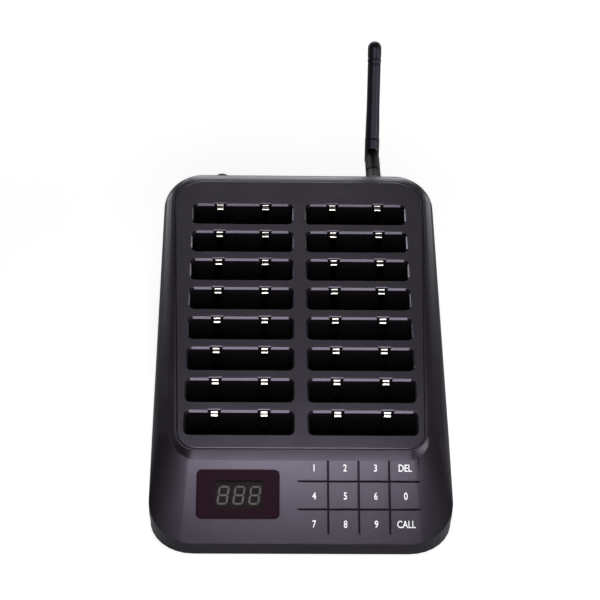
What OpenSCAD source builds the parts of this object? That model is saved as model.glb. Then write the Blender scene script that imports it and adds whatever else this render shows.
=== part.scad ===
// Charging base for guest pagers: sixteen wells in a sloping deck, a touch keypad,
// a three-digit display and a folding antenna at the back.
// Millimetres. X to the right, Y from the front edge to the back, Z up from the table.

/* [Shell] */
// Width of the shell's shoulder beside the front of the deck
shoulder_w = 13.25; // [12:0.25:20]
// Height of the parting line between the base and the cover
parting_z = 8; // [7:0.5:10]
// Radius of the shell's corners, seen from above
corner_r = 21.5; // [18:0.5:24]
// Wall of the base and the cover
wall = 2.2; // [1.6:0.1:2.8]
// How far the base stands back under the cover's lower edge
base_setback = 0.3; // [0.2:0.1:1]
// Height of the shadow groove between the base and the cover
seam_h = 0.6; // [0.4:0.1:1]
// Depth of the shadow groove
seam_d = 0.8; // [0.5:0.1:1]
// Height of the panel's surface at the front edge
panel_z0 = 8.4; // [8.2:0.1:9.5]
// How far the panel's upper edge lies under the deck's front edge
panel_drop = 2.713; // [2:0.1:3.4]

/* [Shoulders] */
// Width of the rolled shoulder beside the front of the deck
front_roll_w = 17; // [14:0.5:18]
// Height of the rolled shoulder beside the front of the deck
front_roll_h = 11.4; // [9:0.2:12]
// Width of the rolled shoulder and rim round the back
back_roll_w = 9.5; // [7:0.5:12]
// Height of the rolled shoulder beside the back of the deck
back_roll_h = 8; // [7:0.2:10]
// Height of the rolled rim behind the deck
rim_roll_h = 4.5; // [3.5:0.1:6]

/* [Deck] */
// Clearance under the first row's wells, above the main board
board_clear = 2.82; // [1:0.1:4]
// Slope of the deck
deck_slope = 9.76; // [9:0.1:10.5]
// Thickness of the deck plate
deck_t = 4; // [3.5:0.1:5]
// How far the deck plate stands proud of the shell at its front edge
front_step = 1.6; // [1:0.1:2]
// How far the deck plate stands proud of the shell at its back edge
back_step = 0.3; // [0.2:0.1:0.6]
// Radius of the deck plate's upper edge
deck_edge_r = 0.4; // [0.2:0.1:0.6]
// Width of the lip that rises from the panel in front of the deck, at its top
lip_w = 0.7; // [0.5:0.1:1]
// How much wider the lip is at its foot
lip_flare = 1.3; // [0.8:0.1:1.6]
// Width of the deck's rim beside the slots, at its front edge
deck_rim = 3.1; // [2.6:0.1:5]
// Widening of each side of the deck for each millimetre of its length
deck_taper = 0.0437; // [0.03:0.001:0.045]
// Distance from the deck's back edge to the shell's back wall
deck_back_gap = 9.7; // [9:0.1:11]
// Corner radius of the deck at the front
deck_front_r = 9; // [6:0.5:12]
// Corner radius of the deck at the back
deck_back_r = 15; // [12:0.5:18]
// Gap round the deck plate in its seat
deck_gap = 0.2; // [0.1:0.05:0.4]
// Width of the ledge that carries the deck plate
ledge_w = 1.4; // [1:0.1:1.6]

/* [Slots] */
// Rows of slots from front to back
rows = 8; // [4:1:8]
// Distance from one row to the next
row_pitch = 19.05; // [17.5:0.05:22]
// Distance from the deck's front edge to the middle of the first row
first_row = 14.65; // [13:0.05:17]
// Distance from the middle of the last row to the deck's back edge
last_row = 23.3; // [22:0.1:28]
// Width of the bar between the two columns of slots
middle_bar = 7.7; // [6:0.1:10]
// Width of a slot
slot_w = 52.3; // [48:0.1:56]
// Depth of a slot from front to back, seen from above
slot_d = 13; // [12:0.1:13.4]
// Corner radius of a slot
slot_r = 2.3; // [1.5:0.1:4]
// Width of the bevel round the mouth of a slot
bevel = 0.8; // [0.4:0.1:1]
// Depth of a well below the deck at the middle of its slot
well_depth = 24; // [22:0.5:27]
// Wall of a well
well_wall = 1.2; // [0.8:0.1:1.4]

/* [Charging contacts] */
// Distance between the two contacts of a slot
contact_span = 24.2; // [20:0.1:28]
// Width of the notch for a contact
notch_w = 6.2; // [5:0.1:8]
// How far the notch goes behind the slot
notch_d = 1.1; // [0.9:0.1:1.4]
// Width of the bevel round the notch
notch_bevel = 0.4; // [0.2:0.1:0.5]
// Width of a contact spring
spring_w = 3.7; // [3:0.1:4.4]
// Thickness of a contact spring
spring_t = 0.3; // [0.2:0.05:0.4]
// How far the crest of a spring stands into the well
crest_out = 1.5; // [1:0.1:2]
// Depth of the crest below the deck
crest_depth = 3.9; // [3:0.1:6]
// Depth of a spring's foot below the deck
spring_depth = 17; // [14:0.5:18]

/* [Keypad] */
// Width of a key field
key_w = 14.6; // [13:0.1:15]
// Height of a key field, up the panel
key_h = 13.6; // [13:0.1:15]
// Distance from the middle line to the left edge of the keypad
keypad_x = -1.9; // [-3:0.1:-1]
// Distance up the panel to the lower edge of the keypad
keypad_t = 2.9; // [2.5:0.1:3.5]
// Distance up the panel from the keypad's upper edge to the deck
keypad_margin = 0.636; // [0.4:0.1:2]
// Width of the grooves between the keys
groove_w = 1; // [0.6:0.1:1.4]
// Depth of the grooves
groove_d = 0.8; // [0.3:0.1:1]

/* [Display] */
// Width of the display window
window_w = 39.6; // [36:0.2:40]
// Height of the display window, up the panel
window_h = 24.1; // [22:0.1:25]
// Corner radius of the display window
window_r = 2.6; // [1.5:0.1:4]
// Thickness of the display window
window_t = 1.4; // [1:0.1:1.6]
// Distance from the middle line to the middle of the window
window_x = -30.1; // [-31:0.1:-29]
// Distance up the panel to the middle of the window
window_mid_t = 23.7; // [23.2:0.1:24.5]
// Width of the three-digit display
led_w = 22.5; // [20:0.5:26]
// Height of the three-digit display
led_h = 14; // [12:0.5:16]
// Depth of the three-digit display
led_d = 7.2; // [6:0.1:8]
// Height of a digit
digit_h = 9.2; // [7:0.1:10]

/* [Base] */
// Thickness of the base's floor
floor_t = 2.4; // [2:0.1:3]
// Height that the rubber feet stand proud
foot_proud = 0.5; // [0.4:0.1:1]
// Diameter of the rubber feet
foot_d = 12; // [9:0.5:14]
// Height of the base's lip inside the cover
lip_h = 2.5; // [1.5:0.1:3]
// Diameter of the case screws' shanks
screw_d = 2.9; // [2.5:0.1:3.2]

/* [Back wall] */
// Distance of the antenna and the power button from the shell's sides
rear_inset = 30.5; // [29.5:0.5:33]
// Depth of the antenna's and the power button's axes below the deck's back edge
rear_drop = 12.666; // [12:0.1:13.5]
// Diameter of the power button
button_d = 9.8; // [8:0.1:10.5]
// How far the power button stands out
button_out = 8.2; // [6:0.1:9]
// Travel of the power button
button_travel = 2.5; // [1.5:0.1:3]
// Gap round the power button
button_gap = 0.3; // [0.2:0.05:0.5]
// Bore of the supply inlet
inlet_bore_d = 5.6; // [5.5:0.05:6.6]
// Centre pin of the supply inlet
inlet_pin_d = 2.1; // [1.6:0.1:2.5]
// Depth of the supply inlet's bore
inlet_depth = 9.5; // [8:0.5:10]

/* [Antenna] */
// Length of the boss that carries the antenna
boss_len = 6.2; // [4:0.1:7]
// Thread diameter of the antenna jack
jack_d = 6.2; // [5.8:0.05:6.4]
// Length of the antenna's coupling nut
nut_len = 9.2; // [8:0.1:11]
// Distance from the boss's face to the folding hinge
elbow_len = 26.8; // [24:0.1:30]
// Diameter of the antenna's elbow and fork
elbow_d = 8.2; // [7.6:0.1:8.6]
// Thickness of the elbow's tongue
tongue_t = 4.8; // [4:0.1:5.2]
// Diameter of the hinge pin
pin_d = 2; // [1.6:0.1:2.4]
// Angle of the whip above the line of the jack at rest
whip_angle = 68; // [60:1:80]
// Length of the whip from the hinge to the middle of its round tip
whip_len = 60.8; // [56:0.2:70]
// Diameter of the whip's upper tube
whip_d = 7.2; // [6.6:0.1:7.4]
// Diameter of the whip's tip
tip_d = 7.5; // [7.4:0.1:8]

/* [Hidden] */
COLUMNS = ["left", "right"];
WELL_NAMES = [for (c = COLUMNS, r = [1:rows]) str("well_", c, "_", r)];

eps = 0.01;
far = 400;
charcoal = [0.23, 0.22, 0.25];
black = [0.05, 0.05, 0.06];
board_green = [0.1, 0.32, 0.2];

// Clearances between pieces
snug = 0.15;
play = 0.3;
pin_play = 0.05;

// Base: the floor, the main board and the rubber feet's height
tray_z = foot_proud;
floor_z = tray_z + floor_t;
edge_round = 0.5;
board_t = 1.6;
board_z = floor_z + 2.2;
board_top = board_z + board_t;

// Height of the deck, which clears the wells over the board, and the panel that rises to it
td = tan(deck_slope);
deck_z0 = board_top + board_clear + well_wall + well_depth - first_row * td;
panel_len = keypad_t + 3 * key_h + keypad_margin;
panel_slope = asin((deck_z0 - panel_drop - panel_z0) / panel_len);
tp = tan(panel_slope);

// Overall sizes of the shell, which follow from the keypad, the slots and the rims round them
column_x = (slot_w + middle_bar) / 2;
deck_half_w = column_x + slot_w / 2 + deck_rim;
body_w = 2 * (deck_half_w + shoulder_w);
deck_y0 = panel_len * cos(panel_slope);
deck_y1 = deck_y0 + first_row + (rows - 1) * row_pitch + last_row;
body_len = deck_y1 + deck_back_gap;

// Deck: its plane, its rows and its ledge
function deck_z(y) = deck_z0 + (y - deck_y0) * td;
function row_y(r) = deck_y0 + first_row + (r - 1) * row_pitch;
ledge_t = 2.2;
deck_under = deck_t + ledge_t;

// Shell's top: the deck's plane, lowered by one distance in front and another at the back
function top_z(y, front, back) =
    deck_z(y) - front + (front - back) * (y - deck_y0) / (deck_y1 - deck_y0);
function shell_z(y) = top_z(y, front_step, back_step);
shell_slope = atan(shell_z(1) - shell_z(0));

// Shell: the centres of the rolled shoulders and how far they pass above the deck's seat
corner_x = body_w / 2 - corner_r;
front_roll_y = deck_y0 + 13.4;
back_roll_y = body_len - corner_r;
front_over = 0.7;
back_over = 0.42;
lip_drop = 5;
corner_slope = 16.7;
corner_rise = 0.2;

// Case screws, board posts and feet
screw_inset = 10;
screw_front_gap = 7;
screw_back_gap = 29;
screw_x = body_w / 2 - screw_inset;
screw_ys = [deck_y0 + screw_front_gap, body_len - screw_back_gap];
screw_boss_r = 3.7;
screw_shank_r = screw_d / 2 - snug;
screw_head_r = 2.9;
screw_head_t = 2.1;
screw_sink = 0.5;
screw_hole_r = screw_d / 2 + 0.25;
screw_len = 14;
cross_w = 3.4;
cross_t = 0.7;
cross_depth = 1.2;
board_half_w = screw_x - screw_boss_r - 2.8;
board_back_gap = 7;
board_post_r = 3;
board_post_x = board_half_w - 10;
board_post_gap = 22;
board_post_ys = [deck_y0 + board_post_gap - 1, body_len / 2, body_len - board_post_gap];
foot_inset = 23;
foot_end_gap = 21;
foot_x = body_w / 2 - foot_inset;
foot_ys = [foot_end_gap, body_len - foot_end_gap];
foot_sink = 0.8;
foot_chamfer = 0.5;

// Panel: its pieces are placed in the panel's own plane (across, up the slope, outward)
panel_t = 2.6;
led_x = window_x + 0.5;
led_t = window_mid_t - 0.2;
led_gap = 0.3;
led_top = -(window_t + 0.2);
pane_sink = 0.1;
keypad_drop = 2.4;
groove_end = 1.2;
touch_r = 2.6;
touch_t = 0.5;
crest_rise = 3.4;
crest_fall = spring_depth * 0.55;
spring_top = 1.1;

// Back wall
back_in = body_len - wall;
boss_y = body_len + boss_len;
boss_tip = 1.2;
boss_neck = 1.6;
boss_flare = 3.9;
boss_curve = 0.8;
rear_x = body_w / 2 - rear_inset;
rear_z = deck_z(deck_y1) - rear_drop;
power_board_gap = 13.5;
power_board_y = body_len - power_board_gap;
power_board_w = 26;
switch_w = 8.5;
switch_floor = 0.4;
stem_r = 2;
flange_t = 1.4;
collar_r = button_d / 2 + 1.2;
collar_y = back_in - play - flange_t;
switch_len = collar_y - button_travel - play - power_board_y;
inlet_gap = 28;
inlet_x = inlet_gap - rear_x;
inlet_z = board_top + 6.5;
inlet_nose_r = inlet_bore_d / 2 + 1.2;
inlet_w = 9.2;
inlet_below = 6.5;
inlet_above = 5;
inlet_len = 11;
inlet_pin_set = 0.8;
inlet_pin_taper = 0.6;
radio_w = 22;
radio_d = 16;
radio_h = 3.2;

// Antenna
hinge_y = boss_y + elbow_len;
elbow_r = elbow_d / 2;
tongue_r = elbow_r - 0.1;
cheek_r = elbow_r - 0.05;
fork_floor = tongue_r + 0.35;
fork_len = 9.9;
tip_len = 8.3;
ferrule_r = 2;
ferrule_len = 3;
whip_top_y = hinge_y + whip_len * cos(whip_angle) + tip_d / 2;

// The origin lies on the table under the middle of the whole outline, antenna included
module set_down() {
    translate([0, -whip_top_y / 2, 0]) children();
}

// ---------------------------------------------------------------- shapes

module rounded_rect(w, h, r) {
    square([w - 2 * r, h], center = true);
    square([w, h - 2 * r], center = true);
    for (sx = [-1, 1], sy = [-1, 1])
        translate([sx * (w / 2 - r), sy * (h / 2 - r)]) circle(r, $fn = 32);
}

// Outline of the shell seen from above, set in by a distance
module plan(inset) {
    translate([0, body_len / 2])
        rounded_rect(body_w - 2 * inset, body_len - 2 * inset, corner_r - inset);
}

// A cylinder along Y, from one Y to another
module rod_y(r, y_from, y_to, fn = 48) {
    translate([0, y_from, 0]) rotate([-90, 0, 0]) cylinder(r = r, h = y_to - y_from, $fn = fn);
}

// A profile in the YZ plane, drawn right across the shell
module across(points) {
    rotate([90, 0, 90]) linear_extrude(height = body_w + 20, center = true) polygon(points);
}

// Everything from a height up to the panel's plane and the shell's top, both lowered
module under_skin(bottom, panel_sink, front, back) {
    sink = panel_sink / cos(panel_slope);
    rise = top_z(1, front, back) - top_z(0, front, back);
    meet = (top_z(0, front, back) - panel_z0 + sink) / (tp - rise);
    start = (bottom - panel_z0 + sink) / tp;
    across([[start, bottom], [meet, top_z(meet, front, back)], [far, top_z(far, front, back)],
            [far, bottom]]);
}

// Everything under the rim behind the deck, which rolls down to the back wall
module under_rim(skin) {
    y = body_len - back_roll_w;
    z = shell_z(deck_y1) - skin;
    w = back_roll_w + 0.5 - skin / 2;
    across(concat([[-1, 0], [-1, z]],
                  [for (a = [0:11.25:90]) [y + w * sin(a), z - rim_roll_h * (1 - cos(a))]],
                  [[y + w, 0]]));
}

// Everything above, or under, the deck's plane lowered by a distance
module above_deck(drop) {
    across([[0, deck_z(0) - drop], [far, deck_z(far) - drop], [far, far], [0, far]]);
}

module below_deck(drop) {
    across([[0, deck_z(0) - drop], [far, deck_z(far) - drop], [far, 0], [0, 0]]);
}

// Leans a shape so that what was level runs up the given slope from y = 0
module lean(slope) {
    multmatrix([[1, 0, 0, 0], [0, 1, 0, 0], [0, tan(slope), 1, 0], [0, 0, 0, 1]]) children();
}

// Places a shape in the panel's plane: X across, Y up the slope, Z outward
module on_panel() {
    translate([0, 0, panel_z0]) rotate([panel_slope, 0, 0]) children();
}

// One pair of shoulders: round in plan, with an elliptical roll at the top edge
module shoulder(y, roll_w, roll_h, over, skin) {
    r = corner_r - skin;
    w = roll_w - skin / 2;
    top = shell_z(y) + over - skin;
    foot = top - roll_h - 1;
    for (s = [-1, 1])
        translate([s * corner_x, y, 0]) lean(shell_slope)
            rotate_extrude($fn = 72)
                polygon(concat([[0, foot], [r - 1, foot]],
                    [for (a = [90:-11.25:0]) [r - w + w * sin(a), top - roll_h + roll_h * cos(a)]],
                    [[0, top]]));
}

// The shell's solid form, or its inside when a skin is taken off
module shell_form(skin) {
    column_h = 60;
    front_z = panel_z0 + corner_rise - skin + corner_r * tan(corner_slope);
    intersection() {
        hull() {
            for (s = [-1, 1]) {
                translate([s * corner_x, corner_r, 0])
                    lean(corner_slope) translate([0, 0, front_z - column_h])
                        cylinder(r = corner_r - skin, h = column_h, $fn = 72);
                translate([s * corner_x, back_roll_y, -column_h])
                    cylinder(r = corner_r - skin, h = column_h, $fn = 72);
            }
            shoulder(front_roll_y, front_roll_w, front_roll_h, front_over, skin);
            shoulder(back_roll_y, back_roll_w, back_roll_h, back_over, skin);
        }
        if (skin > 0) under_skin(parting_z - skin, panel_t, deck_under, deck_under);
        else under_skin(parting_z, 0, front_step, back_step);
        under_rim(skin);
    }
}

// Outline of the deck plate, set in by a distance: straight tapering sides and round corners
function arc(c, r, from, to, n = 10) =
    [for (i = [0:n]) c + r * [cos(from + (to - from) * i / n), sin(from + (to - from) * i / n)]];

function deck_half(y) = deck_half_w + (y - deck_y0) * deck_taper;

function deck_side(inset) =
    let (lean_a = atan(deck_taper), rf = deck_front_r - inset, rb = deck_back_r - inset,
         yf = deck_y0 + deck_front_r, yb = deck_y1 - deck_back_r,
         xf = deck_half(yf) - deck_front_r / cos(lean_a),
         xb = deck_half(yb) - deck_back_r / cos(lean_a))
    concat(arc([xf, yf], rf, -90, -lean_a), arc([xb, yb], rb, -lean_a, 90));

module deck_outline(inset) {
    side = deck_side(inset);
    polygon(concat(side, [for (i = [len(side) - 1:-1:0]) [-side[i][0], side[i][1]]]));
}

// A slab of the deck's outline that follows the deck's slope, its top lowered by a distance
module deck_layer(inset, drop, h) {
    translate([0, 0, deck_z(0) - drop - h]) lean(deck_slope)
        linear_extrude(height = h) deck_outline(inset);
}

// A straight groove with round ends, from one point to another along X or Y
module groove(from, to) {
    along = to - from;
    translate([0, 0, -groove_d]) linear_extrude(height = groove_d + 1) {
        translate(from) circle(groove_w / 2, $fn = 24);
        translate(to) circle(groove_w / 2, $fn = 24);
        translate((from + to) / 2)
            square([max(abs(along[0]), groove_w), max(abs(along[1]), groove_w)], center = true);
    }
}

// ---------------------------------------------------------------- base

module case_screw_places() {
    for (s = [-1, 1], y = screw_ys) translate([s * screw_x, y, 0]) children();
}

module base_tray() {
    lip_in = wall + snug;
    lip_wall = 1.6;
    lip_setback = 8;
    relief = 8;
    color(charcoal) difference() {
        union() {
            difference() {
                union() {
                    hull() for (a = [0:30:90]) {
                        up = edge_round * (1 - cos(a));
                        translate([0, 0, tray_z + up])
                            linear_extrude(height = parting_z - seam_h - tray_z - edge_round)
                                plan(base_setback + edge_round * (1 - sin(a)));
                    }
                    translate([0, 0, parting_z - 1]) linear_extrude(height = 1)
                        plan(base_setback + seam_d);
                    translate([0, 0, parting_z - 1]) linear_extrude(height = 1 + lip_h)
                        intersection() {
                            plan(lip_in);
                            translate([0, body_len / 2 + lip_setback])
                                square([body_w, body_len - lip_setback], center = true);
                        }
                }
                translate([0, 0, floor_z]) linear_extrude(height = far) plan(lip_in + lip_wall);
            }
            case_screw_places()
                cylinder(r = screw_boss_r, h = parting_z, $fn = 40);
            for (s = [-1, 1], y = board_post_ys)
                translate([s * board_post_x, y, tray_z + 0.1])
                    cylinder(r = board_post_r, h = board_z - tray_z - 0.1, $fn = 32);
        }
        translate([-far / 2, -far / 2, tray_z - 10]) cube([far, far, 10]);
        case_screw_places() {
            translate([0, 0, -1]) cylinder(r = screw_hole_r, h = far, $fn = 32);
            translate([0, 0, -1])
                cylinder(r = screw_head_r + play, h = 1 + tray_z + screw_head_t + screw_sink, $fn = 32);
        }
        foot_places() translate([0, 0, -1])
            cylinder(r = foot_d / 2 + snug, h = 1 + tray_z + foot_sink, $fn = 48);
        translate([inlet_x - inlet_w / 2 - play, body_len - relief, inlet_z - inlet_below - play])
            cube([inlet_w + 2 * play, relief, far]);
    }
}

module foot_places() {
    for (s = [-1, 1], y = foot_ys) translate([s * foot_x, y, 0]) children();
}

// Rubber feet: round pads with a chamfered foot, stuck in recesses
module rubber_feet() {
    color(black) foot_places() rotate_extrude($fn = 48)
        polygon([[0, 0], [foot_d / 2 - foot_chamfer, 0], [foot_d / 2, foot_chamfer],
                 [foot_d / 2, tray_z + foot_sink], [0, tray_z + foot_sink]]);
}

// Case screws: pan heads from below, each with a cross recess, into the cover's bosses
module case_screws() {
    seat = tray_z + screw_head_t + screw_sink;
    color("silver") case_screw_places() difference() {
        union() {
            translate([0, 0, seat - screw_head_t]) cylinder(r = screw_head_r, h = screw_head_t, $fn = 32);
            translate([0, 0, seat - eps]) cylinder(r = screw_shank_r, h = screw_len, $fn = 32);
        }
        for (a = [0, 90]) rotate([0, 0, a])
            translate([-cross_w / 2, -cross_t / 2, seat - screw_head_t - 1])
                cube([cross_w, cross_t, 1 + cross_depth]);
    }
}

// ---------------------------------------------------------------- cover and deck

// Solid columns left standing inside the cover
module cover_columns() {
    post_r = 1.8;
    side = 2;
    foot = 4;
    pane_x = window_w / 2 - 3;
    pane_t = window_h / 2 - 2.6;
    case_screw_places() cylinder(r = screw_boss_r, h = far, $fn = 40);
    on_panel() {
        for (x = [keypad_x + side, keypad_x + 4 * key_w - side],
             t = [keypad_t + foot, keypad_t + 3 * key_h - side])
            translate([x, t, -panel_t - keypad_drop]) cylinder(r = post_r, h = far, $fn = 24);
        for (x = [-1, 1], t = [-1, 1])
            translate([window_x + x * pane_x, window_mid_t + t * pane_t, led_top - led_d])
                cylinder(r = post_r, h = far, $fn = 24);
    }
}

// Boss behind which the antenna jack is clamped, with a hollow flank that runs into the wall
module antenna_boss() {
    translate([rear_x, 0, rear_z]) rotate([-90, 0, 0])
        rotate_extrude($fn = 64)
            polygon(concat([[0, back_in]],
                [[elbow_r + boss_neck + boss_flare, back_in],
                 [elbow_r + boss_neck + boss_flare, body_len]],
                [for (a = [10:10:90]) [elbow_r + boss_neck + boss_flare * (1 - sin(a)),
                    body_len + boss_len * boss_curve * (1 - cos(a))]],
                [[elbow_r + boss_tip, boss_y], [0, boss_y]]));
}

// Lip that rises from the panel to the deck's level in front of the deck plate
module front_lip() {
    intersection() {
        hull() {
            deck_layer(-deck_gap - lip_w, back_step, 1);
            deck_layer(-deck_gap - lip_w - lip_flare, back_step + lip_drop - 1, 1);
        }
        translate([0, deck_y0, 0]) cube([far, 2 * deck_front_r, far], center = true);
    }
}

module top_cover() {
    color(charcoal) difference() {
        union() {
            difference() {
                shell_form(0);
                difference() {
                    shell_form(wall);
                    cover_columns();
                }
            }
            front_lip();
            antenna_boss();
        }
        // seat and opening for the deck
        intersection() {
            linear_extrude(height = far) deck_outline(-deck_gap);
            above_deck(deck_t);
        }
        intersection() {
            linear_extrude(height = far) deck_outline(ledge_w);
            above_deck(deck_under + 1);
        }
        // display window: a seat for the pane and a hole for the digits
        on_panel() {
            translate([window_x, window_mid_t, -window_t - pane_sink])
                linear_extrude(height = 10) rounded_rect(window_w, window_h, window_r);
            translate([led_x, led_t, -panel_t - 6])
                linear_extrude(height = 10) square([led_w + 2 * led_gap, led_h + 2 * led_gap], center = true);
            for (i = [1:3])
                groove([keypad_x + i * key_w, keypad_t + groove_w + groove_end],
                       [keypad_x + i * key_w, keypad_t + 3 * key_h - groove_w - groove_end]);
            for (i = [1:2])
                groove([keypad_x + groove_w / 2, keypad_t + i * key_h],
                       [keypad_x + 4 * key_w - groove_w / 2, keypad_t + i * key_h]);
        }
        // pilot holes for the case screws
        case_screw_places() translate([0, 0, parting_z - 1])
            cylinder(r = screw_shank_r + pin_play, h = screw_len + 1, $fn = 32);
        // holes in the back wall, and room inside it for the power button's collar
        translate([rear_x, 0, rear_z]) rod_y(jack_d / 2 + snug, back_in - 20, boss_y + 1);
        translate([-rear_x, 0, rear_z]) rod_y(button_d / 2 + button_gap, back_in - 5, body_len + 5);
        translate([-rear_x, 0, rear_z]) rod_y(collar_r + play, collar_y - button_travel - play, back_in);
        translate([inlet_x, 0, inlet_z]) rod_y(inlet_nose_r + snug, back_in - 5, body_len + 5);
    }
}

// Outline of a slot with its two notches, seen from above
module slot_outline(grow = 0) {
    rounded_rect(slot_w + 2 * grow, slot_d + 2 * grow, slot_r + grow);
    for (s = [-1, 1])
        translate([s * contact_span / 2, slot_d / 2 + (notch_d - 1) / 2])
            square([notch_w + 2 * grow, notch_d + 1 + 2 * grow], center = true);
}

// The bevelled mouth of a slot: four cones at the corners and a wedge across each way
module slot_bevel() {
    inside = 0.3;
    down = bevel + inside;
    up = 1;
    r = slot_r + 0.2;
    w = slot_w - 2 * r;
    d = slot_d / cos(deck_slope) - 2 * r;
    module wedge(half, len) {
        rotate([90, 0, 0]) linear_extrude(height = len, center = true)
            polygon([[-half + inside, -down], [half - inside, -down],
                     [half + bevel + up, up], [-half - bevel - up, up]]);
    }
    for (sx = [-1, 1], sy = [-1, 1])
        translate([sx * w / 2, sy * d / 2, -down])
            cylinder(r1 = r - inside, r2 = r + bevel + up, h = down + up, $fn = 32);
    wedge(w / 2 + r, d);
    rotate([0, 0, 90]) wedge(d / 2 + r, w);
}

// The bevelled mouth of a notch: a rectangle that widens upward
module notch_mouth() {
    inside = 0.2;
    up = 0.6;
    w = notch_w - 2 * inside;
    d = 2 * (notch_d - inside);
    grow = 2 * (inside + notch_bevel + up);
    translate([0, slot_d / 2 / cos(deck_slope), -inside - notch_bevel])
        linear_extrude(height = inside + notch_bevel + up, slices = 1,
                scale = [(w + grow) / w, (d + grow) / d])
            square([w, d], center = true);
}

module slot_deck() {
    color(charcoal) difference() {
        hull() {
            deck_layer(0, deck_edge_r, deck_t - deck_edge_r);
            for (a = [45, 90])
                deck_layer(deck_edge_r * (1 - cos(a)), deck_edge_r * (1 - sin(a)), 1);
        }
        for (s = [-1, 1], r = [1:rows]) translate([s * column_x, row_y(r), 0]) {
            linear_extrude(height = far) slot_outline();
            translate([0, 0, deck_z(row_y(r))]) rotate([deck_slope, 0, 0]) {
                slot_bevel();
                for (c = [-1, 1]) translate([c * contact_span / 2, 0, 0]) notch_mouth();
            }
        }
    }
}

// ---------------------------------------------------------------- wells and contacts

// One well: a box that hangs under its slot, with a channel behind each contact
module well(s, r) {
    y = row_y(r);
    inside_z = deck_z(y) - well_depth;
    color(black) intersection() {
        difference() {
            translate([s * column_x, y, inside_z - well_wall])
                linear_extrude(height = far) slot_outline(well_wall);
            translate([s * column_x, y, inside_z]) linear_extrude(height = far) slot_outline();
        }
        below_deck(deck_t);
    }
}

// Shape of a contact spring seen from the side: a flat foot, a round crest and a turned-back end
function crest(d) = d < crest_depth
    ? pow(cos(90 * min(1, (crest_depth - d) / crest_rise)), 2)
    : pow(cos(90 * min(1, (d - crest_depth) / crest_fall)), 2);

module spring_profile() {
    back = notch_d - spring_t / 2;
    depths = [for (i = [0:14]) spring_top + (crest_depth + spring_depth * 0.6 - spring_top) * i / 14];
    line = concat([for (d = depths) [back - (back + crest_out) * crest(d), -d]],
                  [[back, -spring_depth]]);
    polygon(concat([for (p = line) p + [spring_t / 2, 0]],
                   [for (i = [len(line) - 1:-1:0]) line[i] - [spring_t / 2, 0]]));
}

module contacts(s) {
    color("silver") for (r = [1:rows], c = [-1, 1])
        translate([s * column_x + c * contact_span / 2, row_y(r) + slot_d / 2,
                   deck_z(row_y(r) + slot_d / 2)])
            rotate([90, 0, 90]) linear_extrude(height = spring_w, center = true) spring_profile();
}

// ---------------------------------------------------------------- display and keypad

module display_window() {
    color([0.13, 0.07, 0.09]) on_panel()
        translate([window_x, window_mid_t, -window_t - pane_sink])
            linear_extrude(height = window_t)
                rounded_rect(window_w - snug, window_h - snug, window_r - snug / 2);
}

module display_module() {
    color(black) on_panel() translate([led_x, led_t, led_top - led_d / 2])
        cube([led_w, led_h, led_d], center = true);
}

// One bar of a digit: a long hexagon
module segment(len) {
    gap = 0.18;
    t = 0.85;
    h = len / 2 - gap;
    polygon([[-h, 0], [-h + t / 2, t / 2], [h - t / 2, t / 2], [h, 0],
             [h - t / 2, -t / 2], [-h + t / 2, -t / 2]]);
}

module digit() {
    digit_ratio = 0.47;
    half = (digit_h - 1) / 2;
    w = digit_h * digit_ratio;
    for (i = [-1:1]) translate([0, i * half]) segment(w);
    for (sx = [-1, 1], sy = [-1, 1])
        translate([sx * w / 2, sy * half / 2]) rotate([0, 0, 90]) segment(half);
}

// The lit bars of the three digits, leaning a little to the right
module digit_segments() {
    skew = tan(8);
    bar_t = 0.08;
    color("gainsboro") on_panel() translate([led_x, led_t, led_top])
        linear_extrude(height = bar_t)
            for (i = [-1:1]) translate([i * led_w / 3, 0])
                multmatrix([[1, skew, 0, 0], [0, 1, 0, 0], [0, 0, 1, 0], [0, 0, 0, 1]]) digit();
}

module display_board() {
    color(board_green) on_panel()
        translate([window_x, window_mid_t, led_top - led_d - board_t / 2])
            cube([window_w - 2, window_h - 1, board_t], center = true);
}

module keypad_board() {
    color(board_green) on_panel()
        translate([keypad_x, keypad_t + 2, -panel_t - keypad_drop - board_t])
            cube([4 * key_w, 3 * key_h - 2, board_t]);
}

// Touch springs: one under each key field, between the board and the panel
module touch_springs() {
    color("silver") on_panel() for (i = [0:3], j = [0:2])
        translate([keypad_x + (i + 0.5) * key_w, keypad_t + (j + 0.5) * key_h + 1, -panel_t - keypad_drop])
            difference() {
                cylinder(r = touch_r, h = keypad_drop, $fn = 24);
                translate([0, 0, -1]) cylinder(r = touch_r - touch_t, h = keypad_drop + 2, $fn = 24);
            }
}

// ---------------------------------------------------------------- inside

module main_board() {
    front = row_y(1) - slot_d / 2;
    color(board_green) translate([-board_half_w, front, board_z])
        cube([2 * board_half_w, body_len - board_back_gap - front, board_t]);
}

// Radio module under its screening can
module radio_module() {
    color("silver") translate([rear_x - radio_w / 2, back_in - radio_d - 4, board_top])
        cube([radio_w, radio_d, radio_h]);
}

// Coaxial supply socket: a square body on the main board and a round nose through the back wall
module supply_inlet() {
    color(black) translate([inlet_x, 0, inlet_z])
        difference() {
            union() {
                translate([-inlet_w / 2, back_in - inlet_len, -inlet_below])
                    cube([inlet_w, inlet_len - play, inlet_above + inlet_below]);
                rod_y(inlet_nose_r, back_in - 1, body_len);
            }
            rod_y(inlet_bore_d / 2, body_len - inlet_depth, body_len + 1);
        }
}

module inlet_pin() {
    color("silver") translate([inlet_x, 0, inlet_z]) rotate([-90, 0, 0]) rotate_extrude($fn = 32)
        polygon([[0, body_len - inlet_depth], [inlet_pin_d / 2, body_len - inlet_depth],
                 [inlet_pin_d / 2, body_len - inlet_pin_set - inlet_pin_taper],
                 [inlet_pin_d / 2 - 0.5, body_len - inlet_pin_set], [0, body_len - inlet_pin_set]]);
}

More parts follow.
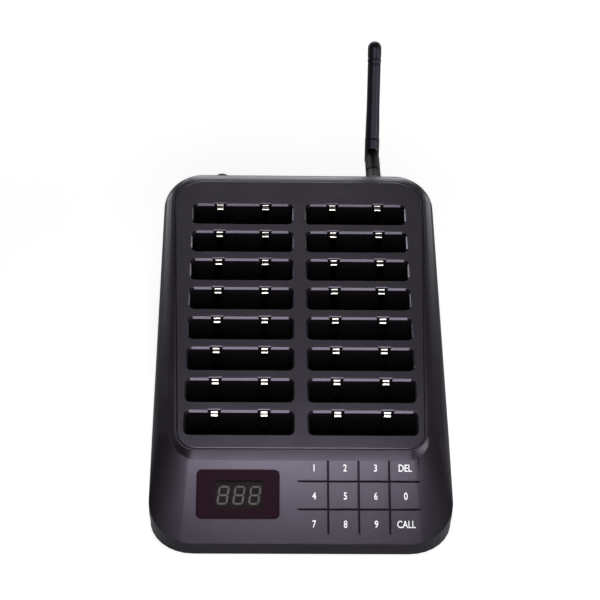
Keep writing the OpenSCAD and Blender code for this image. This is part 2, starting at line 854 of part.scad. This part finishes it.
module power_board() {
    color(board_green) translate([-rear_x - power_board_w / 2, power_board_y - board_t, board_top])
        cube([power_board_w, board_t, rear_z + switch_w / 2 + 0.15 - board_top]);
}

// Latching switch that the power button works
module power_switch() {
    color(black) translate([-rear_x, 0, rear_z]) difference() {
        translate([-switch_w / 2, power_board_y, -switch_w / 2]) cube([switch_w, switch_len, switch_w]);
        rod_y(stem_r + play / 2, power_board_y + switch_floor, body_len);
    }
}

// Round cap with a collar that holds it behind the wall and a stem into the switch
module power_button() {
    stem_y = power_board_y + switch_floor + button_travel + play;
    color(black) translate([-rear_x, 0, rear_z]) rotate([-90, 0, 0])
        rotate_extrude($fn = 64)
            polygon([[0, stem_y], [stem_r, stem_y], [stem_r, collar_y], [collar_r, collar_y],
                     [collar_r, collar_y + flange_t], [button_d / 2, collar_y + flange_t],
                     [button_d / 2, body_len + button_out - 0.8],
                     [button_d / 2 - 0.25, body_len + button_out - 0.3],
                     [button_d / 2 - 0.8, body_len + button_out], [0, body_len + button_out]]);
}

// ---------------------------------------------------------------- antenna

// Threaded jack through the boss, held by a hexagon behind the wall
module antenna_jack() {
    color("goldenrod") translate([rear_x, 0, rear_z]) difference() {
        union() {
            rod_y(jack_d / 2, back_in - 6, boss_y + 5.2);
            rod_y(jack_d / 2 + 1.6, back_in - 2.4, back_in, 6);
        }
        rod_y(1.4, boss_y - 2, boss_y + 6);
    }
}

// Coupling nut: a tapered sleeve that runs on the jack's thread and holds the elbow's ferrule
module antenna_nut() {
    base = boss_y + 0.2;
    top = base + nut_len;
    bore = jack_d / 2 + pin_play;
    color(black) translate([rear_x, 0, rear_z]) rotate([-90, 0, 0])
        rotate_extrude($fn = 64)
            polygon([[bore, base], [elbow_r + 0.5, base], [elbow_r + 0.65, base + 0.4],
                     [elbow_r + 0.45, base + 2.4], [elbow_r + 0.1, base + 6],
                     [elbow_r + 0.02, top - 0.4], [elbow_r - 0.3, top],
                     [ferrule_r + pin_play, top], [ferrule_r + pin_play, top - ferrule_len],
                     [bore, top - ferrule_len]]);
}

// Elbow: turns in the nut on its ferrule and carries the hinge's tongue
module antenna_elbow() {
    base = boss_y + 0.2 + nut_len;
    shoulder_y = hinge_y - fork_floor;
    color(black) translate([rear_x, 0, rear_z]) difference() {
        union() {
            rod_y(ferrule_r, base - ferrule_len - play, base + 1, 40);
            rod_y(ferrule_r + 0.7, base - ferrule_len - 0.7, base - ferrule_len - 0.1, 40);
            rotate([-90, 0, 0]) rotate_extrude($fn = 56)
                polygon([[0, base + 0.2], [elbow_r - 0.5, base + 0.2], [elbow_r, base + 0.7],
                         [elbow_r, shoulder_y - 0.4], [elbow_r - 0.4, shoulder_y], [0, shoulder_y]]);
            intersection() {
                rod_y(elbow_r - 0.1, shoulder_y - 1, hinge_y + tongue_r, 56);
                union() {
                    translate([-tongue_t / 2, shoulder_y - 1, -elbow_r])
                        cube([tongue_t, hinge_y - shoulder_y + 1, elbow_d]);
                    translate([0, hinge_y, 0]) rotate([0, 90, 0])
                        cylinder(r = tongue_r, h = tongue_t, center = true, $fn = 56);
                }
            }
        }
        translate([0, hinge_y, 0]) rotate([0, 90, 0])
            cylinder(r = pin_d / 2 + pin_play, h = 20, center = true, $fn = 40);
    }
}

module hinge_pin() {
    color("silver") translate([rear_x, hinge_y, rear_z]) rotate([0, 90, 0])
        cylinder(r = pin_d / 2, h = elbow_d - 1.2, center = true, $fn = 40);
}

// Places a shape along the whip: Z runs from the hinge to the tip
module on_whip() {
    translate([rear_x, hinge_y, rear_z]) rotate([whip_angle - 90, 0, 0]) children();
}

// Fork: two cheeks round the tongue and the barrel that the tube is set in
module antenna_fork() {
    slot_half = tongue_t / 2 + play;
    color(black) on_whip() difference() {
        union() {
            intersection() {
                translate([0, 0, -elbow_r]) cylinder(r = cheek_r, h = elbow_r + fork_floor + 1, $fn = 56);
                union() {
                    rotate([0, 90, 0]) cylinder(r = cheek_r, h = elbow_d, center = true, $fn = 56);
                    translate([-elbow_r, -elbow_r, 0]) cube([elbow_d, elbow_d, far]);
                }
            }
            rotate_extrude($fn = 56)
                polygon([[0, fork_floor], [cheek_r, fork_floor], [cheek_r, fork_len - 0.35],
                         [cheek_r - 0.35, fork_len], [0, fork_len]]);
        }
        translate([-slot_half, -10, -10]) cube([2 * slot_half, 20, 10 + fork_floor]);
        rotate([0, 90, 0]) cylinder(r = pin_d / 2, h = 20, center = true, $fn = 40);
        translate([0, 0, fork_len - 4]) cylinder(r = 2.6, h = 5, $fn = 40);
    }
}

// Tube: a spigot in the fork, a tapering foot and a straight upper part
module antenna_tube() {
    top = whip_len - tip_len;
    color(black) on_whip() rotate_extrude($fn = 56)
        polygon([[0, fork_len - 4], [2.55, fork_len - 4], [2.55, fork_len],
                 [cheek_r - 0.45, fork_len], [cheek_r - 0.15, fork_len + 0.4],
                 [cheek_r - 0.2, fork_len + 5], [whip_d / 2 + 0.12, fork_len + 12],
                 [whip_d / 2, fork_len + 18], [whip_d / 2, top - 0.3], [whip_d / 2 - 0.3, top],
                 [2.4, top], [2.4, top + 3], [0, top + 3]]);
}

// Tip: a ring, a plain collar and a round end
module antenna_tip() {
    foot = whip_len - tip_len;
    r = tip_d / 2;
    color(black) on_whip() rotate_extrude($fn = 56)
        polygon(concat([[0, foot + 3], [2.45, foot + 3], [2.45, foot],
                        [r - 0.35, foot], [r, foot + 0.35], [r, foot + 2.2], [r - 0.3, foot + 2.5],
                        [r - 0.3, foot + 2.9], [r, foot + 3.2]],
                       [for (a = [0:9:81]) [r * cos(a), whip_len + r * sin(a)]],
                       [[0, whip_len + r]]));
}

set_down() base_tray();
set_down() rubber_feet();
set_down() case_screws();
set_down() top_cover();
set_down() slot_deck();
for (c = [0:1], r = [1:rows])
    set_down() well(2 * c - 1, r);
set_down() contacts(-1);  // contacts_left
set_down() contacts(1);  // contacts_right
set_down() display_window();
set_down() display_module();
set_down() digit_segments();
set_down() display_board();
set_down() keypad_board();
set_down() touch_springs();
set_down() main_board();
set_down() radio_module();
set_down() supply_inlet();
set_down() inlet_pin();
set_down() power_board();
set_down() power_switch();
set_down() power_button();
set_down() antenna_jack();
set_down() antenna_nut();
set_down() antenna_elbow();
set_down() hinge_pin();
set_down() antenna_fork();
set_down() antenna_tube();
set_down() antenna_tip();
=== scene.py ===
import bmesh
import bpy
import math
from mathutils import Matrix, Vector


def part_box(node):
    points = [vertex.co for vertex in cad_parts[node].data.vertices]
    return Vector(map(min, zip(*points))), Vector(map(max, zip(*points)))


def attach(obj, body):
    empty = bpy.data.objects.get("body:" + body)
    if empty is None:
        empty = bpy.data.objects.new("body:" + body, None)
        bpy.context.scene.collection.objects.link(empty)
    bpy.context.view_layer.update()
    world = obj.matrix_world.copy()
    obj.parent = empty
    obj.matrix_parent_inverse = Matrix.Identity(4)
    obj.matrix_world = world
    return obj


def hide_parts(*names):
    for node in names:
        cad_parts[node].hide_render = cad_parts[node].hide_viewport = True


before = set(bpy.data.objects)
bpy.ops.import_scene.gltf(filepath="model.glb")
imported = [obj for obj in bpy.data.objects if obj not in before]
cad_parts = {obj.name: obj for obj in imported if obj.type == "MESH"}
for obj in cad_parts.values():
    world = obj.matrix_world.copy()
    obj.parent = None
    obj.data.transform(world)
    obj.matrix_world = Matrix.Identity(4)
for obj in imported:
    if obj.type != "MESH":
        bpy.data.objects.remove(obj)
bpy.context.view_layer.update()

# Camera. It looks down on the pager base from in front, as a customer leaning on the
# counter does, with a long lens. The base is turned a degree and a half to the view, so
# the camera is turned that much the other way round the middle of the base.
MM = 0.001
front_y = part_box("top_cover")[0].y
base_middle = 107 * MM
view_turn = -1.533
view_spot = (-0.57 * MM, -628.4 * MM, 616.2 * MM)
view_down = 41.16
view_roll = 1.387
camera_data = bpy.data.cameras.new("camera")
camera_data.sensor_width = 36
camera_data.lens = 101.36
camera = bpy.data.objects.new("camera", camera_data)
camera.matrix_world = (Matrix.Translation((0, front_y + base_middle, 0))
                       @ Matrix.Rotation(math.radians(view_turn), 4, "Z")
                       @ Matrix.Translation(view_spot)
                       @ Matrix.Rotation(math.radians(90 - view_down), 4, "X")
                       @ Matrix.Rotation(math.radians(view_roll), 4, "Z"))
bpy.context.scene.collection.objects.link(camera)
bpy.context.scene.camera = camera
bpy.context.scene.view_settings.view_transform = "Standard"


# Studio. One softbox hangs over the front panel and a larger one stands far in front, for
# the slots' bevels and the contacts. Strips at the sides and behind light the case's
# rounded edges and the antenna, and the room is dim in reflections and white to the camera.
white = (1, 1, 1, 1)
room_seen = 1.0
room_fill = 0.06
room_level = 0.03
room_overhead = 0.06
overhead_starts = 0.5
overhead_full = 0.9


def softbox(name, place, aim, width, depth, watts, spread=180):
    data = bpy.data.lights.new(name, "AREA")
    data.shape = "RECTANGLE"
    data.size = width * MM
    data.size_y = depth * MM
    data.energy = watts
    data.spread = math.radians(spread)
    lamp = bpy.data.objects.new(name, data)
    lamp.location = Vector(place) * MM
    lamp.rotation_euler = (Vector(aim) - Vector(place)).to_track_quat("-Z", "Y").to_euler()
    bpy.context.scene.collection.objects.link(lamp)


def add(tree, kind, links, **settings):
    made = tree.nodes.new(kind)
    for key, value in settings.items():
        setattr(made, key, value)
    for socket, value in links.items():
        if isinstance(value, bpy.types.NodeSocket):
            tree.links.new(value, made.inputs[socket])
        else:
            made.inputs[socket].default_value = value
    return made


def kinds_of_ray(tree):
    ray = add(tree, "ShaderNodeLightPath", {})
    mirrored = add(tree, "ShaderNodeMath", {0: ray.outputs["Is Glossy Ray"],
                                            1: ray.outputs["Is Transmission Ray"]},
                   operation="MAXIMUM")
    return ray.outputs["Is Camera Ray"], mirrored.outputs[0]


softbox("key_softbox", place=(0, -108, 300), aim=(0, -96, 0), width=160, depth=80,
        watts=0.175, spread=76)
softbox("front_softbox", place=(0, -900, 470), aim=(0, 0, 40), width=600, depth=400, watts=4.8)
softbox("right_strip", place=(420, 420, 120), aim=(40, 60, 60), width=90, depth=300, watts=0.5)
softbox("low_right_strip", place=(450, -150, 50), aim=(45, 120, 50), width=500, depth=90,
        watts=0.9)
softbox("left_strip", place=(-420, 420, 120), aim=(-40, 60, 60), width=90, depth=300,
        watts=0.55)
softbox("top_softbox", place=(0, 420, 640), aim=(0, 0, 40), width=300, depth=200,
        watts=0.035, spread=60)
softbox("back_strip", place=(0, 700, 190), aim=(0, 80, 50), width=500, depth=260, watts=1.8)

world = bpy.data.worlds.new("room")
bpy.context.scene.world = world
world.use_nodes = True
room = world.node_tree
room.nodes.clear()
to_camera, mirrored = kinds_of_ray(room)
direction = add(room, "ShaderNodeTexCoord", {})
upward = add(room, "ShaderNodeSeparateXYZ", {0: direction.outputs["Generated"]})
overhead = add(room, "ShaderNodeMapRange", {"Value": upward.outputs["Z"],
                                            "From Min": overhead_starts,
                                            "From Max": overhead_full,
                                            "To Min": room_level, "To Max": room_overhead},
               interpolation_type="SMOOTHSTEP")
seen = add(room, "ShaderNodeBackground", {"Color": white, "Strength": room_seen})
reflected = add(room, "ShaderNodeBackground", {"Color": white, "Strength": overhead.outputs[0]})
fill = add(room, "ShaderNodeBackground", {"Color": white, "Strength": room_fill})
lit = add(room, "ShaderNodeMixShader", {0: mirrored, 1: fill.outputs[0], 2: reflected.outputs[0]})
shown = add(room, "ShaderNodeMixShader", {0: to_camera, 1: lit.outputs[0], 2: seen.outputs[0]})
add(room, "ShaderNodeOutputWorld", {0: shown.outputs[0]})


# Table. A plain white sheet far wider than the view. It looks nearly white to the camera,
# keeps the soft shadow of the base, and stays dim in the mirror of the black plastic.
sheet_size = 4000 * MM
sheet_mirrored = 0.16
sheet_lift = 0.78
sheet_lighting = "7c7c7c"
sheet_seen = "b4b4b4"


def linear(hex_colour):
    parts = [int(hex_colour[i:i + 2], 16) / 255 for i in (0, 2, 4)]
    return [c / 12.92 if c <= 0.04045 else ((c + 0.055) / 1.055) ** 2.4 for c in parts] + [1]


def from_bmesh(name, mesh, material):
    data = bpy.data.meshes.new(name)
    mesh.to_mesh(data)
    mesh.free()
    data.materials.append(material)
    piece = bpy.data.objects.new(name, data)
    bpy.context.scene.collection.objects.link(piece)
    return piece


def new_material(name):
    material = bpy.data.materials.new(name)
    material.use_nodes = True
    material.node_tree.nodes.clear()
    return material, material.node_tree


sheet_paper, tree = new_material("white_sheet")
to_camera, mirrored = kinds_of_ray(tree)
dimmed = add(tree, "ShaderNodeMath", {0: mirrored, 1: sheet_mirrored}, operation="MULTIPLY")
lift = add(tree, "ShaderNodeMath", {0: to_camera, 1: sheet_lift, 2: dimmed.outputs[0]},
           operation="MULTIPLY_ADD")
glow = add(tree, "ShaderNodeEmission", {"Color": white, "Strength": lift.outputs[0]})
shade = add(tree, "ShaderNodeMix", {"Factor": to_camera, "A": linear(sheet_lighting),
                                    "B": linear(sheet_seen)}, data_type="RGBA")
matt = add(tree, "ShaderNodeBsdfDiffuse", {"Color": shade.outputs["Result"]})
both = add(tree, "ShaderNodeAddShader", {0: glow.outputs[0], 1: matt.outputs[0]})
add(tree, "ShaderNodeOutputMaterial", {0: both.outputs[0]})
table_mesh = bmesh.new()
bmesh.ops.create_grid(table_mesh, x_segments=1, y_segments=1, size=sheet_size)
table_top = from_bmesh("table_top", table_mesh, sheet_paper)


# Base tray. Black ABS, injection moulded in a spark-eroded tool: the pebbled surface
# spreads its shine, which is a little uneven where the melt flowed. The real grain is about
# 0.1 mm and too fine for the view, so the pebbles are drawn at 0.7 mm.
case_finish = {"colour": "100d11", "tint": "151217", "roughness": 0.36, "grain_mm": 0.7,
               "depth_mm": 0.03, "sheen": "efe4ff"}
plastic_ior = 1.53
flow_size = 14 * MM
flow_low = 0.3
flow_high = 0.7
flow_gloss = 0.03
edge_radius = 0.25 * MM


def moulded(name, colour, tint, roughness, grain_mm, depth_mm, sheen="ffffff"):
    material, tree = new_material(name)
    place = add(tree, "ShaderNodeTexCoord", {})
    flow = add(tree, "ShaderNodeTexNoise", {"Vector": place.outputs["Object"],
                                            "Scale": 1 / flow_size, "Detail": 3})
    pebble = add(tree, "ShaderNodeTexNoise", {"Vector": place.outputs["Object"],
                                              "Scale": 1 / (grain_mm * MM), "Detail": 2})
    shade = add(tree, "ShaderNodeMix", {"Factor": pebble.outputs["Fac"], "A": linear(colour),
                                        "B": linear(tint)}, data_type="RGBA")
    gloss = add(tree, "ShaderNodeMapRange", {"Value": flow.outputs["Fac"],
                                             "From Min": flow_low, "From Max": flow_high,
                                             "To Min": roughness - flow_gloss,
                                             "To Max": roughness + flow_gloss})
    rounded = add(tree, "ShaderNodeBevel", {"Radius": edge_radius}, samples=6)
    relief = add(tree, "ShaderNodeBump", {"Height": pebble.outputs["Fac"], "Strength": 1.0,
                                          "Distance": depth_mm * MM,
                                          "Normal": rounded.outputs[0]})
    skin = add(tree, "ShaderNodeBsdfPrincipled", {"Base Color": shade.outputs["Result"],
                                                  "Roughness": gloss.outputs[0],
                                                  "IOR": plastic_ior,
                                                  "Specular Tint": linear(sheen),
                                                  "Normal": relief.outputs[0]})
    add(tree, "ShaderNodeOutputMaterial", {0: skin.outputs[0]})
    return material


def finish(material, *nodes):
    for name in nodes:
        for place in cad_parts[name].material_slots:
            place.material = material


eroded_abs = moulded("spark_eroded_abs", **case_finish)
finish(eroded_abs, "base_tray")


# Top cover. The same black ABS, screwed to the tray from below. The grooves between its key
# fields carry painted shade: inside them the shine is turned down to a dark grey, so they
# stay dark from above.
panel_slope = math.radians(28.4)
panel_foot = 8.4 * MM
panel_place = (Matrix.Translation((0, front_y, panel_foot))
               @ Matrix.Rotation(panel_slope, 4, "X"))
keypad_across = 27.5
keypad_up = 23.1
groove_level = -0.55
groove_zone = Vector((28.9, 22.5, 0.4)) * MM
# Painted shade: the dark grey shine of the keypad's grooves.
groove_painted_shade = "585460"


def away_from(tree, middle, half):
    place = add(tree, "ShaderNodeTexCoord", {})
    inside = add(tree, "ShaderNodeMapping", {"Vector": place.outputs["Object"],
                                             "Location": middle, "Scale": half,
                                             "Rotation": (panel_slope, 0, 0)},
                 vector_type="TEXTURE")
    away = add(tree, "ShaderNodeVectorMath", {0: inside.outputs[0]}, operation="ABSOLUTE")
    return add(tree, "ShaderNodeSeparateXYZ", {0: away.outputs[0]})


abs_with_painted_groove_shade = moulded("spark_eroded_abs_painted_groove_shade", **case_finish)
tree = abs_with_painted_groove_shade.node_tree
groove_middle = panel_place @ Vector((keypad_across * MM, keypad_up * MM, groove_level * MM))
away = away_from(tree, groove_middle, groove_zone)
wide = add(tree, "ShaderNodeMath", {0: away.outputs["X"], 1: away.outputs["Y"]},
           operation="MAXIMUM")
deep = add(tree, "ShaderNodeMath", {0: wide.outputs[0], 1: away.outputs["Z"]},
           operation="MAXIMUM")
# Painted shade: below the panel's face, inside the keypad, the shine turns dark grey.
dark = add(tree, "ShaderNodeMath", {0: deep.outputs[0], 1: 1.0}, operation="LESS_THAN")
sheen = add(tree, "ShaderNodeMix", {"Factor": dark.outputs[0],
                                    "A": linear(case_finish["sheen"]),
                                    "B": linear(groove_painted_shade)}, data_type="RGBA")
tree.links.new(sheen.outputs["Result"], tree.nodes["Principled BSDF"].inputs["Specular Tint"])
finish(abs_with_painted_groove_shade, "top_cover")


# Deck plate. The same black ABS, a plate of its own that drops into the cover. The slots'
# bevels and its rim are cut by smooth steel in the tool, so the shine draws together
# wherever the surface leaves the deck's plane.
deck_slope = math.radians(9.76)
bevel_facing = 0.85
deck_facing = 0.99
bevel_gloss = 0.5
plate_abs = moulded("spark_eroded_abs_smooth_bevels", **case_finish)
tree = plate_abs.node_tree
roughness = tree.nodes["Principled BSDF"].inputs["Roughness"]
grained = roughness.links[0].from_socket
facing = add(tree, "ShaderNodeTexCoord", {})
level = add(tree, "ShaderNodeVectorMath", {0: facing.outputs["Normal"],
                                           1: (0, -math.sin(deck_slope), math.cos(deck_slope))},
            operation="DOT_PRODUCT")
smooth = add(tree, "ShaderNodeMapRange", {"Value": level.outputs["Value"],
                                          "From Min": bevel_facing, "From Max": deck_facing,
                                          "To Min": bevel_gloss, "To Max": 1.0})
gloss = add(tree, "ShaderNodeMath", {0: grained, 1: smooth.outputs[0]}, operation="MULTIPLY")
tree.links.new(gloss.outputs[0], roughness)
finish(plate_abs, "slot_deck")


# Front sweep. In front of the deck plate the cover rises from the panel in one hollow
# curve, moulded with it, which runs round the plate's front corners and dies out on the
# shoulders. Its foot is found on the cover itself, outwards from each point of the rim.
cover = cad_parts["top_cover"]
crease = math.radians(35)
# Sizes in millimetres, back from the cover's front edge and up from the table
deck_front = 39.0
deck_level = 32.2
corner_x = 50.635
corner_radius = 9.0
corner_turn = 87
corner_steps = 16
rim_out = 0.85
rim_drop = 0.36
sweep_slope = 1.5
sweep_bow = 1.15
sweep_steps = 8
longest_reach = 4.0
search_step = 0.05
near_probe = 0.1
far_probe = 0.6
neighbours = 3
sweep_proud = 0.01
foot_bite = 0.3
rim_bite = 1.5
search_height = 300


def deck_plane(y):
    return deck_level + (y - deck_front) * math.tan(deck_slope)


def cover_height(x, y):
    start = Vector((x * MM, front_y + y * MM, search_height * MM))
    _, spot, _, _ = cover.ray_cast(start, Vector((0, 0, -1)))
    return spot.z / MM


def outward(station, distance):
    x, y, out_x, out_y = station
    return x + out_x * distance, y + out_y * distance


stations = []
rim_radius = corner_radius + rim_out
angles = [math.radians(corner_turn * i / corner_steps) for i in range(corner_steps + 1)]
for side in (-1, 1):
    turn = [(side * (corner_x + rim_radius * math.sin(a)),
             deck_front + corner_radius - rim_radius * math.cos(a),
             side * math.sin(a), -math.cos(a)) for a in angles]
    stations += turn[::-1] if side < 0 else turn
rim_levels = [deck_plane(station[1]) - rim_drop for station in stations]
reaches = []
for station, top in zip(stations, rim_levels):
    reach = longest_reach
    while reach > search_step and (top - sweep_slope * reach
                                   < cover_height(*outward(station, reach))):
        reach -= search_step
    reaches.append(reach)
hollow = bmesh.new()
rows = []
for k, (station, top) in enumerate(zip(stations, rim_levels)):
    near = reaches[max(0, k - neighbours):k + neighbours + 1]
    reach = sum(near) / len(near)
    foot = cover_height(*outward(station, reach + near_probe))
    beyond = cover_height(*outward(station, reach + far_probe))
    fall = (foot - beyond) / (far_probe - near_probe)
    rise = top - foot - fall * (reach + near_probe)
    row = []
    for step in range(sweep_steps + 1):
        f = step / sweep_steps
        ground = foot + fall * (reach * (1 - f) + near_probe)
        row.append((*outward(station, reach * f),
                    ground + rise * (1 - f) ** sweep_bow + sweep_proud))
    row.append((*outward(station, reach), row[-1][2] - foot_bite))
    row.append((*outward(station, 0), top - rim_bite))
    rows.append([hollow.verts.new((x * MM, front_y + y * MM, z * MM)) for x, y, z in row])
for before, after in zip(rows, rows[1:]):
    for i in range(len(before)):
        j = (i + 1) % len(before)
        hollow.faces.new((before[i], before[j], after[j], after[i]))
hollow.faces.new(rows[0])
hollow.faces.new(rows[-1][::-1])
bmesh.ops.recalc_face_normals(hollow, faces=hollow.faces)
sweep = from_bmesh("cover_front_sweep", hollow, eroded_abs)
sweep.data.shade_smooth()
sweep.data.set_sharp_from_angle(angle=crease)
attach(sweep, "base_unit")


# Wells. One deep black ABS moulding hangs under each slot. Its walls are coarse and dull,
# and their shine is turned down to a dark grey as painted shade, so the slot looks empty.
dull_abs_painted_shade = moulded("dull_black_abs_painted_shade", "050505", "070707", roughness=0.8, grain_mm=1,
                   depth_mm=0.05, sheen="606060")
wells = [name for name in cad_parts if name.startswith("well_")]
finish(dull_abs_painted_shade, *wells)


# Contact springs. Nickel-plated phosphor bronze strip, bent to a round crest and set in
# the notches of each slot. Rolling leaves fine lines along the strip, which stretch its
# bright reflections lengthwise; they are drawn a quarter of a millimetre wide to show.
line_length = 25 * MM
line_gloss = 0.3
spring_width = 3.2
spring_gauge = 0.3
spring_back = 0.95
crest_out = 1.0
crest_depth = 3.3
crest_rise = 3.17
crest_fall = 9.35
spring_low = 17.0
spring_high = 0.8
spring_steps = 44
crowding = 1.6
column_x = 30.0
contact_span = 24.2
first_row_y = deck_front + 14.65
row_pitch = 19.05
slot_rows = 8
slot_depth = 13.0


def plated(name, colour, roughness, line_mm):
    material, tree = new_material(name)
    place = add(tree, "ShaderNodeTexCoord", {})
    line_scale = (1 / (line_mm * MM), 1 / line_length, 1 / line_length)
    along = add(tree, "ShaderNodeMapping", {"Vector": place.outputs["Object"],
                                            "Scale": line_scale})
    lines = add(tree, "ShaderNodeTexNoise", {"Vector": along.outputs[0], "Scale": 1,
                                             "Detail": 2})
    gloss = add(tree, "ShaderNodeMapRange", {"Value": lines.outputs["Fac"],
                                             "To Min": roughness * (1 - line_gloss),
                                             "To Max": roughness * (1 + line_gloss)})
    metal = add(tree, "ShaderNodeBsdfPrincipled", {"Base Color": linear(colour),
                                                   "Metallic": 1.0,
                                                   "Roughness": gloss.outputs[0]})
    add(tree, "ShaderNodeOutputMaterial", {0: metal.outputs[0]})
    return material


def spring_line():
    line = []
    for step in range(spring_steps + 1):
        depth = spring_high + (spring_low - spring_high) * (step / spring_steps) ** crowding
        flank = crest_rise if depth < crest_depth else crest_fall
        away = min(1, abs(depth - crest_depth) / flank)
        bulge = math.cos(math.pi / 2 * away) ** 2
        line.append((spring_back - (spring_back + crest_out) * bulge, -depth))
    return line


nickel = plated("nickel_plated_strip", "d6d2cb", roughness=0.1, line_mm=0.25)
for node, side in (("contacts_left", -1), ("contacts_right", 1)):
    strips = bmesh.new()
    for row in range(slot_rows):
        y = first_row_y + row * row_pitch + slot_depth / 2
        for end in (-1, 1):
            x = side * column_x + end * contact_span / 2
            edges = [[strips.verts.new(((x + k * spring_width / 2) * MM,
                                        front_y + (y + out) * MM,
                                        (deck_plane(y) + up) * MM)) for out, up in spring_line()]
                     for k in (-1, 1)]
            faces = [strips.faces.new((edges[0][i], edges[0][i + 1],
                                       edges[1][i + 1], edges[1][i]))
                     for i in range(spring_steps)]
            bmesh.ops.solidify(strips, geom=faces, thickness=spring_gauge * MM)
    bmesh.ops.recalc_face_normals(strips, faces=strips.faces)
    springs = from_bmesh(node + "_bent", strips, nickel)
    springs.data.shade_smooth()
    springs.data.set_sharp_from_angle(angle=crease)
    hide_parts(node)
    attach(springs, "base_unit")


# Small metal pieces. The springs under the key fields, the socket's and the hinge's pins,
# the case screws and the radio's can are nickel-plated too, and mirror what is round them.
finish(nickel, "touch_springs", "inlet_pin", "hinge_pin", "case_screws", "radio_module")


# Display. The pane is clear acrylic, let into the panel and painted dark maroon on its back
# except for a window over the three-digit module. It mirrors like glass, and the module's
# black potting shows through it with its milky epoxy bars, which are unlit.
module_low, module_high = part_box("display_module")
window_width = 22.5
window_height = 14
window_half = Vector((window_width, window_height, 1)) * MM / 2
pane_roughness = 0.06
acrylic_ior = 1.49
painted_pane, tree = new_material("acrylic_painted_behind")
away = away_from(tree, (module_low + module_high) / 2, window_half)
edge = add(tree, "ShaderNodeMath", {0: away.outputs["X"], 1: away.outputs["Y"]},
           operation="MAXIMUM")
painted = add(tree, "ShaderNodeMath", {0: edge.outputs[0], 1: 1.0}, operation="GREATER_THAN")
clear = add(tree, "ShaderNodeBsdfPrincipled", {"Base Color": linear("c4bec0"),
                                               "Roughness": pane_roughness,
                                               "IOR": acrylic_ior,
                                               "Transmission Weight": 1.0})
paint = add(tree, "ShaderNodeBsdfPrincipled", {"Base Color": linear("1f0f19"),
                                               "Roughness": pane_roughness,
                                               "IOR": acrylic_ior})
pane = add(tree, "ShaderNodeMixShader", {0: painted.outputs[0], 1: clear.outputs[0],
                                         2: paint.outputs[0]})
add(tree, "ShaderNodeOutputMaterial", {0: pane.outputs[0]})
finish(painted_pane, "display_window")
potting = moulded("black_potting_epoxy", "030303", "050505", roughness=0.6, grain_mm=2,
                  depth_mm=0.01)
finish(potting, "display_module")
milky = moulded("milky_epoxy", "b8b6ae", "c4c2ba", roughness=0.5, grain_mm=1, depth_mm=0.005)
finish(milky, "digit_segments")


# Boards. Glass-fibre laminate under green solder mask, held on posts inside the case. The
# mask is glossy and lies in faint ripples over the weave.
laminate = moulded("green_solder_mask", "0f4a26", "16602f", roughness=0.3, grain_mm=1.2,
                   depth_mm=0.01)
finish(laminate, "display_board", "keypad_board", "main_board", "power_board")


# Legends. White digits and words, pad-printed on each key field in ink two hundredths of a
# millimetre thick, duller than the plastic. The words tell the two function keys apart.
key_across = [6.05, 20.85, 35.4, 49.6]
key_up = [36.8, 23.1, 9.5]
key_words = [["1", "2", "3", "DEL"], ["4", "5", "6", "0"], ["7", "8", "9", "CALL"]]
letter_height = 3.6 * MM
capital_share = 0.73
letter_squeeze = 0.76
ink_thickness = 0.02 * MM
stroke_gain = 0.055 * MM
weld_gap = 1e-7
ink = moulded("white_pad_ink", "e4e2e6", "ecebee", roughness=0.5, grain_mm=0.5, depth_mm=0.004)
printed = bmesh.new()
for row, words in enumerate(key_words):
    for column, word in enumerate(words):
        letters = bpy.data.curves.new("letters", "FONT")
        letters.body = word
        letters.size = letter_height / capital_share
        letters.extrude = ink_thickness / 2
        letters.offset = stroke_gain
        letters.resolution_u = 6
        holder = bpy.data.objects.new("letters", letters)
        bpy.context.scene.collection.objects.link(holder)
        shape = holder.to_mesh()
        xs = [v.co.x for v in shape.vertices]
        ys = [v.co.y for v in shape.vertices]
        centre = Vector(((min(xs) + max(xs)) / 2, (min(ys) + max(ys)) / 2, 0))
        spot = Matrix.Translation((key_across[column] * MM, key_up[row] * MM, ink_thickness / 2))
        squeeze = Matrix.Diagonal((letter_squeeze, 1, 1, 1))
        shape.transform(panel_place @ spot @ squeeze @ Matrix.Translation(-centre))
        printed.from_mesh(shape)
        holder.to_mesh_clear()
        bpy.data.objects.remove(holder)
bmesh.ops.remove_doubles(printed, verts=printed.verts, dist=weld_gap)
legends = from_bmesh("key_legends", printed, ink)
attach(legends, "base_unit")


# Back wall. The latching switch with its round button, and the supply socket, are satin
# black ABS from a finer tool, so their shine is a little tighter than the case's.
satin_black = moulded("satin_black_abs", "141416", "19191c", roughness=0.33, grain_mm=0.6,
                      depth_mm=0.015)
finish(satin_black, "power_button", "power_switch", "supply_inlet")


# Antenna. The whip has a rubbery sleeve with a soft bluish sheen, in a fork of the same
# finish. The nut and the elbow are duller nylon, whose shine is turned down to a dark grey
# as painted shade, and the jack that they screw on to is gold-plated brass, with a warm shine.
sleeve = moulded("antenna_sleeve", "0e0f14", "13141a", roughness=0.42, grain_mm=0.5,
                 depth_mm=0.015, sheen="c4c4dd")
finish(sleeve, "antenna_fork", "antenna_tube", "antenna_tip")
shaded_nylon = moulded("nylon_painted_shade", "0c0c0e", "101013", roughness=0.5, grain_mm=0.6,
                     depth_mm=0.02, sheen="505050")
finish(shaded_nylon, "antenna_nut", "antenna_elbow")
gold = plated("gold_plated_brass", "c9a45a", roughness=0.25, line_mm=0.3)
finish(gold, "antenna_jack")


# Feet. Soft black rubber pads, stuck in recesses of the base tray. Rubber is dull and
# hardly mirrors the table.
rubber = moulded("foot_rubber", "101010", "161616", roughness=0.8, grain_mm=0.8, depth_mm=0.05)
finish(rubber, "rubber_feet")
